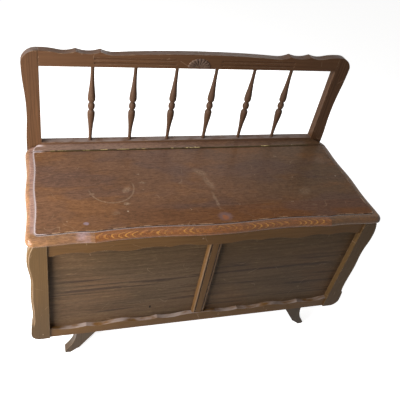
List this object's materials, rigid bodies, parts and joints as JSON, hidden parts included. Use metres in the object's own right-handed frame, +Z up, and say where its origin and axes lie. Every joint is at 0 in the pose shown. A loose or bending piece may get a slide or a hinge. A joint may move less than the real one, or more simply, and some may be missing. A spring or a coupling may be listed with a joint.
{
  "type": "settle bench",
  "caption": "Oak box settle with a lifting lid on a long brass hinge, wavy moulded edges and an open back of turned spindles",
  "frame": {"origin": "on the floor under the middle of the bench's width and depth", "axes": "+X along the bench to the right of someone who faces its front, +Y to the back, +Z up"},
  "size_m": [0.961, 0.4081, 0.781],
  "materials": {
    "oak_lid": "satin varnish, worn",
    "oak_frame": "satin varnish",
    "oak_panel": "satin varnish",
    "oak_side": "satin varnish",
    "oak_back": "satin varnish",
    "oak_turned": "satin varnish",
    "oak_carving": "satin varnish, worn",
    "oak_foot": "satin varnish",
    "softwood_inside": "bare",
    "plywood": "bare",
    "beech_dowel": "bare",
    "brass_hinge": "dull",
    "steel_screw": "dull"
  },
  "bodies": {
    "box": {"seat_rear_strip": "oak_lid", "hinge_leaf_strip": "brass_hinge", "hinge_screws_strip": "brass_hinge", "hinge_pin": "brass_hinge", "front_top_rail": "oak_frame", "front_bottom_rail": "oak_frame", "front_stile_left": "oak_frame", "front_stile_right": "oak_frame", "front_muntin": "oak_frame", "front_panel_left": "oak_panel", "front_panel_right": "oak_panel", "side_stile_front_left": "oak_side", "side_stile_front_right": "oak_side", "side_stile_rear_left": "oak_side", "side_stile_rear_right": "oak_side", "side_top_rail_left": "oak_side", "side_top_rail_right": "oak_side", "side_bottom_rail_left": "oak_side", "side_bottom_rail_right": "oak_side", "side_panel_left": "oak_panel", "side_panel_right": "oak_panel", "back_top_rail": "softwood_inside", "back_bottom_rail": "softwood_inside", "back_panel": "plywood", "bottom_cleat_front": "softwood_inside", "bottom_cleat_rear": "softwood_inside", "bottom_cleat_left": "softwood_inside", "bottom_cleat_right": "softwood_inside", "bottom_board": "plywood", "foot_front_left": "oak_foot", "foot_front_right": "oak_foot", "foot_rear_left": "oak_foot", "foot_rear_right": "oak_foot", "foot_dowels": "beech_dowel", "back_stile_left": "oak_back", "back_stile_right": "oak_back", "crest_rail": "oak_back", "lower_back_rail": "oak_back", "back_frame_screws": "steel_screw", "spindle_1": "oak_turned", "spindle_2": "oak_turned", "spindle_3": "oak_turned", "spindle_4": "oak_turned", "spindle_5": "oak_turned", "spindle_6": "oak_turned", "shell_carving": "oak_carving"},
    "lid": {"lid_board": "oak_lid", "lid_batten_left": "softwood_inside", "lid_batten_right": "softwood_inside", "batten_screws": "steel_screw", "hinge_leaf_lid": "brass_hinge", "hinge_screws_lid": "brass_hinge"}
  },
  "joints": [
    {"name": "lid_hinge", "type": "hinge", "parent": "box", "child": "lid", "pos_m": [0, 0.1473, 0.4897], "axis": [-1, 0, 0], "range_deg": [0, 95]}
  ]
}
